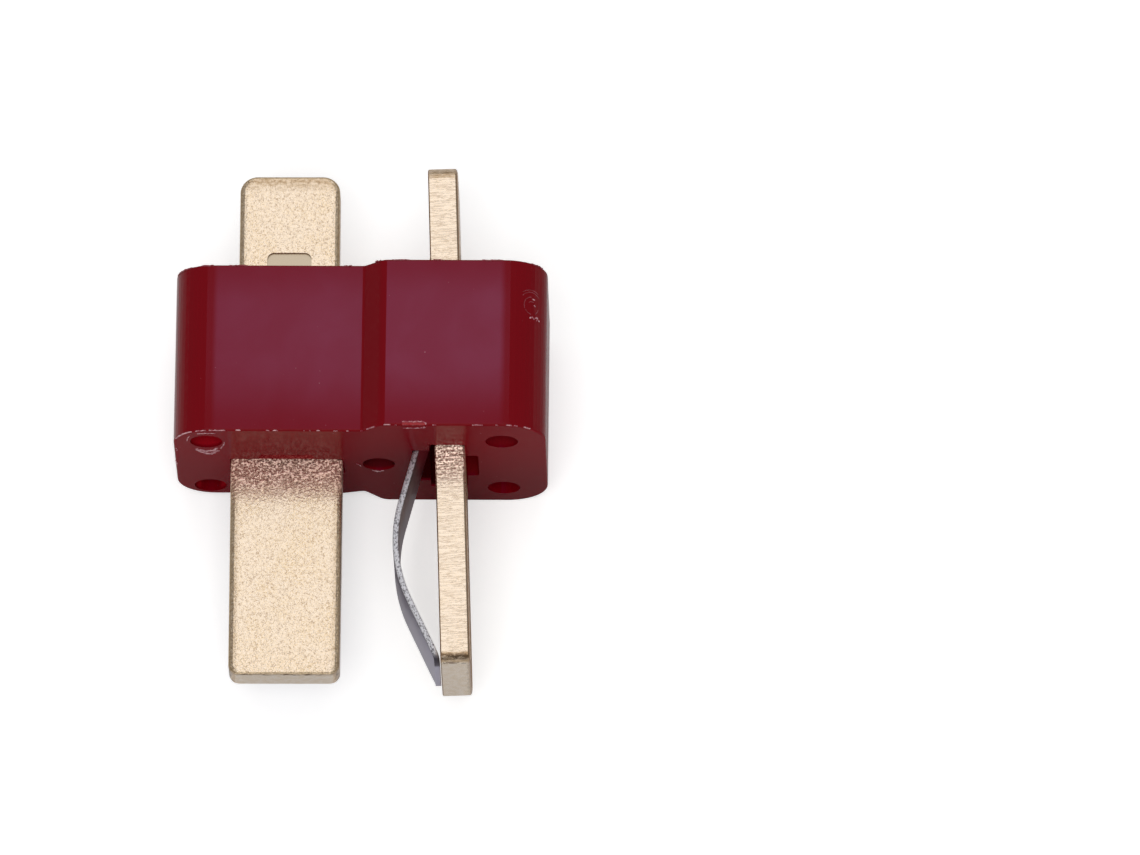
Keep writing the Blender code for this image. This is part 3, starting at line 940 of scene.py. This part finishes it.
@dataclass
class Contact:
    """One stamped blade and the leaf behind it."""

    side: Side
    place: Triple
    turn: float
    on_edge: bool
    plating: GoldPlate
    blade_half: float = 0.65 * MM
    strip: float = 0.25 * MM
    width: float = 3.46 * MM
    tail: float = 2.3 * MM
    seat: float = 0.155 * MM
    apex_reach: float = 4.55 * MM
    apex_height: float = 2.2 * MM
    crest_radius: float = 6.6 * MM
    foot_reach: float = 9.4 * MM
    foot_length: float = 0.28 * MM
    foot_radius: float = 0.9 * MM
    end_radius: float = 0.72 * MM
    edge_round: float = 0.03 * MM
    rings: int = 96
    press_keep: float = 0.54

    @property
    def station(self) -> Matrix:
        """The blade's frame: x across, y along the plug, z to the contact side."""
        matrix = Matrix.Translation(self.place) @ Matrix.Rotation(math.radians(self.turn), 4, "Z")
        return matrix @ Matrix.Rotation(math.radians(90), 4, "Y") if self.on_edge else matrix

    def _bend(self) -> list[Vector]:
        """Centre line of the leaf from its tail to its foot.

        Returns:
            Its points, as (forward, out).
        """
        corners = [
            (-self.tail, self.seat, 0.0),
            (self.apex_reach, self.apex_height, self.crest_radius),
            (self.foot_reach, self.seat, self.foot_radius),
            (self.foot_reach + self.foot_length, self.seat, 0.0),
        ]
        return rounded_line(corners, 1.5)

    def build_leaf(self) -> Piece:
        """Cut the strip flat, then bend it along its line.

        Returns:
            The leaf, in place.
        """
        line = self._bend()
        length = line_length(line)
        thick, half = self.strip / 2, self.width / 2
        leaf = Bench.block(f"leaf_{self.side.value}", (0, -thick, -half), (length, thick, half))

        def end_corner(edge: bmesh.types.BMEdge) -> bool:
            """The two edges that stand at the foot's corners."""
            ends = [vert.co for vert in edge.verts]
            return all(co.x > length * 0.99 for co in ends) and abs(ends[0].z - ends[1].z) < 1e-6

        Bench.pick(leaf, "EDGE", end_corner)
        bpy.ops.mesh.bevel(offset=self.end_radius, segments=8, affect="EDGES")
        bpy.ops.mesh.select_all(action="DESELECT")
        bpy.ops.mesh.edges_select_sharp(sharpness=math.radians(60))
        bpy.ops.mesh.bevel(offset=self.edge_round, segments=2, affect="EDGES")
        Bench.ring([length * step / self.rings for step in range(1, self.rings)])
        Bench.close(leaf)

        Bench.bend(leaf, line)
        into_blade = Matrix(
            ((0, 0, 1, 0), (-1, 0, 0, 0), (0, -1, 0, -self.blade_half), (0, 0, 0, 1))
        )
        leaf.data.transform(self.station @ into_blade)
        return leaf

    def dress(self, nodes: dict[str, Piece]) -> None:
        """Give the blade and its leaf their finishes.

        Args:
            nodes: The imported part's nodes.
        """
        side = self.side.value
        plating = replace(self.plating, name=f"gold_plate_{side}", station=self.station)
        repaint(nodes[f"contact_blade_{side}"], plating.make())
        leaf = self.build_leaf()
        repaint(leaf, SpringSteel(name=f"spring_steel_{side}", station=self.station).make())
        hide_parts(f"leaf_spring_{side}")
        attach(leaf, "plug")
        towards = self.station.to_3x3() @ Vector((0, 0, 1))
        anchor = self.station @ Vector((0, 0, -self.blade_half))
        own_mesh(leaf)
        LOG.info("%s contact: %d leaf faces", side, len(leaf.data.polygons))


@dataclass(frozen=True)
class Thread:
    """A thin ragged thread of nylon along a line on one of the housing's faces, in millimetres.

    Its line is flat: on the mating face it is given as (x, z), and on the front skin as
    (x, y), with x read along the outline.
    """

    line: tuple[Pair, ...]
    width: float
    height: float
    on_front: bool = False


@dataclass
class Housing:
    """The moulded housing, with the flash and scars that the mould has left on it.

    The tables are in millimetres: flash and solder_burrs as (start, end, height) across the
    housing, gate_arcs as (radius, start and end in degrees, height), and gate_nicks as
    (across and up from the gate, run, height).
    """

    mating_y: float
    solder_y: float
    half_width: float = 8.0 * MM
    middle: float = 4.5 * MM
    thin_front: float = 8.26 * MM
    thick_front: float = 9.0 * MM
    step_start: float = 0.12 * MM
    step_end: float = 0.97 * MM
    rim: float = 0.08 * MM
    fin_half: float = 0.02 * MM
    ring_pitch: float = 0.05 * MM
    sunk: float = 0.05 * MM
    gap_depth: float = 0.1 * MM
    arc_width: float = 0.035
    scar_width: float = 0.06
    flash: tuple[Triple, ...] = (
        (-7.9, -7.2, 0.035), (-7.1, -5.65, 0.07), (-5.25, -5.05, 0.03), (-4.0, -3.45, 0.065),
        (-2.56, -2.33, 0.05), (-2.1, -1.4, 0.05), (-1.05, -0.8, 0.09), (-0.52, -0.42, 0.06),
        (0.02, 0.12, 0.1), (0.3, 0.7, 0.02), (1.1, 1.45, 0.03), (1.5, 1.62, 0.09),
        (3.16, 3.32, 0.07), (4.75, 5.3, 0.05), (5.88, 5.97, 0.05), (6.3, 6.8, 0.04),
        (7.1, 7.35, 0.035),
    )
    threads: tuple[Thread, ...] = (
        # The first two threads run along the nick's rims; their pale colour is partly a painted highlight
        # of the rounded rims.
        Thread(
            ((1.87, -1.515), (2.3, -1.525), (2.75, -1.515), (2.87, -1.56), (2.9, -1.64)),
            0.05, 0.035, True,
        ),
        Thread(((1.9, 8.63), (2.3, 8.64), (2.8, 8.65), (2.9, 8.8)), 0.05, 0.03),
        Thread(((-7.05, 6.1), (-6.9, 5.8), (-6.66, 5.55), (-6.39, 5.5), (-6.1, 5.9)), 0.14, 0.02),
        Thread(((-6.9, 6.0), (-6.62, 5.8), (-6.3, 5.9), (-6.15, 6.2)), 0.12, 0.016),
        Thread(((-6.0, 6.1), (-5.86, 6.5), (-5.8, 6.9)), 0.05, 0.012),
        Thread(((-7.4, 6.98), (-7.38, 7.3), (-7.27, 7.6)), 0.04, 0.012),
        Thread(((-6.95, 7.84), (-6.6, 7.92), (-6.15, 7.9)), 0.06, 0.02),
        # Pale crescent on the centre recess's lower lip, partly a painted highlight.
        Thread(((0.45, 3.58), (0.698, 3.46), (0.95, 3.58)), 0.08, 0.025),
        Thread(((-0.2, 4.38), (-0.1, 4.25), (-0.02, 4.09)), 0.05, 0.02),
        Thread(((-7.91, 6.14), (-7.86, 6.0), (-7.9, 5.8)), 0.05, 0.03),
        Thread(((-7.98, 4.6), (-7.95, 4.35), (-7.97, 4.1)), 0.05, 0.03),
    )
    chip: Thread = Thread(((1.88, -1.59), (2.3, -1.6), (2.86, -1.6)), 0.13, 0.012, True)
    gate: Pair = (7.36, 4.0)
    gate_arcs: tuple[tuple[float, float, float, float], ...] = (
        (0.4, 95, 205, 0.008), (0.4, 215, 262, 0.006), (0.38, 300, 350, 0.006),
        (0.2, 60, 150, 0.006), (0.62, 50, 140, 0.007), (0.72, 60, 130, 0.005),
    )
    gate_nicks: tuple[tuple[float, float, float, float], ...] = (
        (-0.12, -0.58, 0.25, 0.03), (0.2, -0.5, 0.16, 0.025), (0.26, -0.6, 0.2, 0.04),
        (0.05, 0.3, 0.12, 0.012), (0.1, 0.02, 0.1, 0.012),
    )
    solder_burrs: tuple[Triple, ...] = (
        (-7.96, -7.3, 0.035), (-6.9, -6.35, 0.02), (-5.7, -4.9, 0.02), (-0.75, -0.4, 0.05),
        (0.62, 0.86, 0.1), (1.35, 2.1, 0.025), (3.1, 3.5, 0.03), (5.2, 6.1, 0.02), (7.3, 7.8, 0.03),
    )
    sign_size: float = 1.3 * MM
    sign_width: float = 0.3 * MM
    sign_rise: float = 0.12 * MM
    sign_round: float = 0.04 * MM
    plus: Pair = (6.2 * MM, 4.2 * MM)
    minus: Pair = (-3.2 * MM, 6.6 * MM)

    @property
    def outline(self) -> list[Vector]:
        """Front half of the housing's outline from left to right.

        Returns:
            Its points, as (x, z).
        """
        corners = [
            (-self.half_width, self.middle, 0.0),
            (-self.half_width, self.thin_front, 1.6 * MM),
            (self.step_start, self.thin_front, 0.22 * MM),
            (self.step_end, self.thick_front, 0.6 * MM),
            (self.half_width, self.thick_front, 1.8 * MM),
            (self.half_width, self.middle, 0.0),
        ]
        return rounded_line(corners, 2.0)

    def _reach(self, across: float) -> float:
        """How far along the outline a place is.

        Args:
            across: The place's x, in metres.

        Returns:
            The length of the outline up to it.
        """
        reach = 0.0
        line = self.outline
        for here, there in zip(line, line[1:]):
            if there.x > across:
                share = max(across - here.x, 0.0) / max(there.x - here.x, 1e-9)
                return reach + share * (there - here).length
            reach += (there - here).length
        return reach

    def _wrap(self, piece: Piece) -> None:
        """Lay a flat piece on the housing's front skin.

        Args:
            piece: The piece, made as (along the outline, up the plug, height).
        """
        piece.data.transform(Matrix(((1, 0, 0, 0), (0, 0, 1, 0), (0, -1, 0, 0), (0, 0, 0, 1))))
        Bench.bend(piece, self.outline)
        piece.data.transform(Matrix(((1, 0, 0, 0), (0, 0, -1, 0), (0, 1, 0, 0), (0, 0, 0, 1))))

    def build_flash(self) -> Piece:
        """Torn fin along the front mating edge, where the mould's halves met.

        Returns:
            The fin, in place.
        """
        start = self._reach(self.flash[0][0] * MM)
        end = self._reach(self.flash[-1][1] * MM)
        seat = self.mating_y + self.rim * 0.4
        low = (start, seat - self.fin_half, -self.rim)
        fin = Bench.block("mating_flash", low, (end, seat + self.fin_half, 0))
        count = round((end - start) / self.ring_pitch)
        places = [start + (end - start) * step / count for step in range(count + 1)]
        Bench.ring(places[1:-1])
        spans = [(self._reach(a * MM), self._reach(b * MM), tall * MM) for a, b, tall in self.flash]
        shifts = []
        whole = True
        for place in places:
            tall = max((h for a, b, h in spans if a <= place <= b), default=-self.gap_depth)
            whole = random.random() < (0.85 if whole else 0.4)
            tall *= random.uniform(0.5, 1.0) if tall > 0 and whole else 1.0
            if tall > 0 and not whole:
                tall = -self.gap_depth
            shifts.append(Vector((0, -0.8 * max(tall, 0.0), 0.6 * tall)))
        Bench.fray(fin, places, shifts)
        Bench.close(fin)
        self._wrap(fin)
        return fin

    def build_thread(self, thread: Thread, name: str) -> Piece:
        """Draw a thread of nylon along its line."""
        places = [(self._reach(x * MM) if thread.on_front else x * MM, y * MM) for x, y in thread.line]
        return self._draw(name, places, thread.width, thread.height, thread.on_front)

    def _draw(
        self, name: str, places: list[Pair], width: float, height: float, on_front: bool = True
    ) -> Piece:
        """Draw a ragged thread through places on a face, the front skin rolled out flat.

        Args:
            name: Name of the piece.
            places: Where it runs, in metres.
            width: Its width, in millimetres.
            height: Its height, in millimetres.
            on_front: On the front skin rather than on the mating face.

        Returns:
            The thread, in place.
        """
        corners = [(x, y, 0.08 * MM) for x, y in places]
        corners[0] = (*places[0], 0.0)
        corners[-1] = (*places[-1], 0.0)
        line = rounded_line(corners, 12.0)
        length = line_length(line)
        half = width * MM / 2
        piece = Bench.block(name, (0, -half, -self.sunk), (length, half, 0))
        count = max(6, round(length / self.ring_pitch))
        rings = [length * step / count for step in range(count + 1)]
        Bench.ring(rings[1:-1])
        shifts = []
        for step in range(count + 1):
            taper = math.sin(math.pi * (step + 0.5) / (count + 1)) ** 0.5
            rise = height * MM * taper * random.uniform(0.3, 1.1)
            shifts.append(Vector((0, half * random.uniform(-0.5, 0.5), rise)))
        Bench.fray(piece, rings, shifts)
        Bench.close(piece)
        Bench.bend(piece, line)
        if on_front:
            self._wrap(piece)
        else:
            onto_mating = Matrix(((1, 0, 0, 0), (0, 0, -1, self.mating_y), (0, 1, 0, 0), (0, 0, 0, 1)))
            piece.data.transform(onto_mating)
        return piece

    def build_gate(self) -> list[Piece]:
        """Broken rings of the gate and the nicks beside it, on the right front corner.

        Returns:
            The rings and nicks, in place.
        """
        along = self._reach(self.gate[0] * MM)
        up = self.gate[1] * MM
        pieces = []
        for number, (radius, start, end, height) in enumerate(self.gate_arcs, start=1):
            turns = [math.radians(start + (end - start) * step / 8) for step in range(9)]
            places = [(along + radius * MM * math.cos(t), up + radius * MM * math.sin(t)) for t in turns]
            pieces.append(self._draw(f"gate_arc_{number}", places, self.arc_width, height))
        for number, (across, rise, run, height) in enumerate(self.gate_nicks, start=1):
            low = (along + across * MM, up + rise * MM)
            places = [low, (low[0] + run * MM / 2, low[1] + 0.05 * MM), (low[0] + run * MM, low[1])]
            pieces.append(self._draw(f"gate_nick_{number}", places, self.scar_width, height))
        return pieces

    def build_burrs(self) -> list[Piece]:
        """Low, dark burrs along the front solder edge.

        Returns:
            The burrs, in place.
        """
        up = self.solder_y - self.rim / 2
        pieces = []
        for number, (start, end, height) in enumerate(self.solder_burrs, start=1):
            places = [(self._reach(x * MM), up) for x in (start, (start + end) / 2, end)]
            pieces.append(self._draw(f"solder_burr_{number}", places, self.scar_width, height))
        return pieces

    def build_sign(self, name: str, centre: Pair, crossed: bool) -> Piece:
        """Raised sign beside a tab, a cross or a bar, grown out of a small block.

        Args:
            name: Name of the piece.
            centre: Its middle across the solder face, as (x, z).
            crossed: A cross rather than a bar.

        Returns:
            The sign, in place.
        """
        half, rise = self.sign_width / 2, self.sign_rise
        sign = Bench.block(name, (-half, -half, -self.sunk), (half, half, rise))
        ways = [(1, 0), (-1, 0)] + ([(0, 1), (0, -1)] if crossed else [])
        arm = (self.sign_size - self.sign_width) / 2
        for x, y in ways:
            way = Vector((x, y, 0))

            def outer(face: bmesh.types.BMFace) -> bool:
                """The block's own face on this side."""
                return face.normal.dot(way) > 0.9 and face.calc_center_median().length < self.sign_width

            Bench.pick(sign, "FACE", outer)
            bpy.ops.mesh.extrude_region_move(TRANSFORM_OT_translate={"value": tuple(way * arm)})

        def top_rim(edge: bmesh.types.BMEdge) -> bool:
            """The sharp edges of the sign's top."""
            return all(vert.co.z > rise * 0.9 for vert in edge.verts) and edge.calc_face_angle(0.0) > 1.0

        Bench.pick(sign, "EDGE", top_rim)
        bpy.ops.mesh.bevel(offset=self.sign_round, segments=2, affect="EDGES")
        Bench.close(sign)
        x, z = centre
        sign.data.transform(Matrix(((-1, 0, 0, x), (0, 0, 1, self.solder_y), (0, 1, 0, z), (0, 0, 0, 1))))
        return sign

    def dress(self, nodes: dict[str, Piece]) -> None:
        """Give the housing its finish, and add what the mould has left.

        Args:
            nodes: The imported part's nodes.
        """
        nylon = MouldedNylon(mating_y=self.mating_y).make()
        pale = WhitenedNylon().make()
        bruised = WhitenedNylon("bruised_nylon", pale=(0.3, 0.05, 0.07), red=(0.2, 0.008, 0.014)).make()
        torn = WhitenedNylon("torn_nylon", pale=(0.42, 0.004, 0.012), red=(0.32, 0.003, 0.009)).make()
        repaint(nodes["housing"], nylon)
        painted = [(self.build_flash(), pale)]
        for number, thread in enumerate(self.threads, start=1):
            painted.append((self.build_thread(thread, f"mould_thread_{number}"), pale))
        painted.append((self.build_thread(self.chip, "mould_chip"), torn))
        painted += [(piece, pale if "nick" in piece.name else bruised) for piece in self.build_gate()]
        painted += [(piece, bruised) for piece in self.build_burrs()]
        painted.append((self.build_sign("sign_plus", self.plus, True), nylon))
        painted.append((self.build_sign("sign_minus", self.minus, False), nylon))
        for piece, material in painted:
            repaint(piece, material)
            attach(piece, "plug")
        LOG.info("housing dressed, with %d small pieces", len(painted))


@dataclass
class Studio:
    """Floor, soft light and camera.

    The panel's pairs say where its edges are, as parts of the direction that the light comes from.
    """

    focus: Triple = (0.0, -0.09 * MM, 4.5 * MM)
    azimuth: float = 2.6027
    elevation: float = 68.7591
    roll: float = -2.1704
    shift_right: float = -8.97584 * MM
    shift_up: float = -0.04172 * MM
    pixels_per_metre: float = 23204.9
    distance: float = 0.6
    sensor: float = 36.0
    floor_radius: float = 1.6
    flat_share: float = 0.9
    wall_height: float = 0.22
    wall_steps: int = 8
    ambient: float = 0.3
    panel: float = 1.08
    panel_across: Pair = (0.34, 0.2)
    panel_along: Pair = (-0.75, -0.4)
    panel_height: Pair = (0.3, 0.5)
    lamp_spot: Triple = (-0.05, -0.42, 0.85)
    lamp_size: float = 0.5
    lamp_energy: float = 2.7
    paper: Triple = (0.86, 0.86, 0.86)
    paper_lift: float = 0.5
    white: Triple = (1.0, 1.0, 1.0)

    def build_camera(self) -> None:
        """Set the camera where the photograph was taken from."""
        azimuth, elevation, roll = (math.radians(a) for a in (self.azimuth, self.elevation, self.roll))
        flat = math.cos(elevation)
        back = Vector((math.sin(azimuth) * flat, -math.cos(azimuth) * flat, math.sin(elevation)))
        level = Vector((math.cos(azimuth), math.sin(azimuth), 0))
        above = back.cross(level)
        right = level * math.cos(roll) + above * math.sin(roll)
        up = above * math.cos(roll) - level * math.sin(roll)
        eye = Vector(self.focus) + back * self.distance - right * self.shift_right - up * self.shift_up
        data = bpy.data.cameras.new("camera")
        data.sensor_width = self.sensor
        data.lens = self.pixels_per_metre * self.distance * self.sensor / PICTURE_WIDTH
        data.clip_start = 0.01
        data.clip_end = 20.0
        camera = bpy.data.objects.new("camera", data)
        camera.matrix_world = Matrix.Translation(eye) @ Matrix((right, up, back)).transposed().to_4x4()
        bpy.context.scene.collection.objects.link(camera)
        bpy.context.scene.camera = camera

    def build_floor(self) -> None:
        """Lay a round floor whose rim turns up into a low wall."""
        turns = [math.pi / 2 * step / self.wall_steps for step in range(self.wall_steps + 1)]
        curl = 1 - self.flat_share
        radii = [self.floor_radius * (self.flat_share + curl * math.sin(turn)) for turn in turns]
        drops = [self.wall_height * math.cos(turn) for turn in turns]
        Bench.clear()
        bpy.ops.mesh.primitive_circle_add(vertices=96, radius=radii[0], fill_type="NGON")
        floor = bpy.context.object
        floor.name = "floor"
        bpy.ops.object.mode_set(mode="EDIT")
        bpy.ops.mesh.select_all(action="SELECT")
        bpy.ops.mesh.select_mode(type="EDGE")
        bpy.ops.mesh.region_to_loop()
        for step in range(1, len(turns)):
            rise = drops[step - 1] - drops[step]
            stretch = radii[step] / radii[step - 1]
            bpy.ops.mesh.extrude_edges_move(TRANSFORM_OT_translate={"value": (0, 0, rise)})
            bpy.ops.transform.resize(value=(stretch, stretch, 1), center_override=(0, 0, 0))
        bpy.ops.mesh.select_all(action="SELECT")
        bpy.ops.mesh.normals_make_consistent(inside=False)
        bpy.ops.object.mode_set(mode="OBJECT")
        bpy.ops.object.shade_smooth()
        material = bpy.data.materials.new("floor")
        material.use_nodes = True
        graph = Graph(material.node_tree)
        rays = graph.node("ShaderNodeLightPath", output="Is Camera Ray")
        paper = graph.node("ShaderNodeBsdfDiffuse", inputs={"Color": self.paper})
        glow = {"Color": self.white, "Strength": rays * self.paper_lift}
        lift = graph.node("ShaderNodeEmission", inputs=glow)
        graph.finish(graph.node("ShaderNodeAddShader", inputs=(paper, lift)))
        repaint(floor, material)

    def build_light(self) -> None:
        """Hang a soft dome with a long panel overhead, and a large soft lamp above the camera."""
        world = bpy.data.worlds.new("studio")
        bpy.context.scene.world = world
        world.use_nodes = True
        graph = Graph(world.node_tree)
        way = graph.node("ShaderNodeTexCoord", output="Generated")
        across = graph.axis(way, "X").size().ramp(*self.panel_across)
        along = graph.axis(way, "Y").ramp(*self.panel_along)
        height = graph.axis(way, "Z").ramp(*self.panel_height)
        strength = self.ambient + (self.panel - self.ambient) * (across * along * height)
        strength = strength.most(graph.node("ShaderNodeLightPath", output="Is Camera Ray"))
        sky = {"Color": self.white, "Strength": strength}
        graph.finish(graph.node("ShaderNodeBackground", inputs=sky))
        lamp_data = bpy.data.lights.new("key", "AREA")
        lamp_data.shape = "SQUARE"
        lamp_data.size = self.lamp_size
        lamp_data.energy = self.lamp_energy
        lamp = bpy.data.objects.new("key", lamp_data)
        bpy.context.scene.collection.objects.link(lamp)
        spot = Vector(self.lamp_spot)
        lamp.matrix_world = Matrix.Translation(spot) @ spot.to_track_quat("Z", "Y").to_matrix().to_4x4()
        lamp.visible_glossy = False

    def build(self) -> None:
        """Set up the whole studio."""
        self.build_floor()
        self.build_light()
        self.build_camera()
        bpy.context.scene.view_settings.view_transform = "Standard"
        LOG.info("studio set up")


def main() -> None:
    """Dress the plug and set up its studio."""
    logging.basicConfig(level=logging.INFO, format="%(name)s: %(message)s")
    random.seed(7)
    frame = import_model()
    nodes = frame["nodes"]
    mating_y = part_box("housing")[0].y
    Housing(mating_y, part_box("housing")[1].y).dress(nodes)
    cracked = GoldPlate(cracks=((-0.785, -0.865, 0.14), (0.159, -0.68, 0.16), (0.467, -1.09, 0.07)))
    # upright blade: dark painted shade on its rims and where its face is seen grazing
    shaded_plate = GoldPlate(rim=(0.24, 0.12, 0.05), rim_shade_weight=0.8, burr_weight=0.3, grazing_shade=0.9)
    Contact(Side.FLAT, (-3.2 * MM, mating_y, 4.2 * MM), 0.25, False, cracked).dress(nodes)
    Contact(Side.UPRIGHT, (3.87 * MM, mating_y, 4.2 * MM), 2.15, True, shaded_plate).dress(nodes)
    Studio().build()


if __name__ == "__main__":
    main()
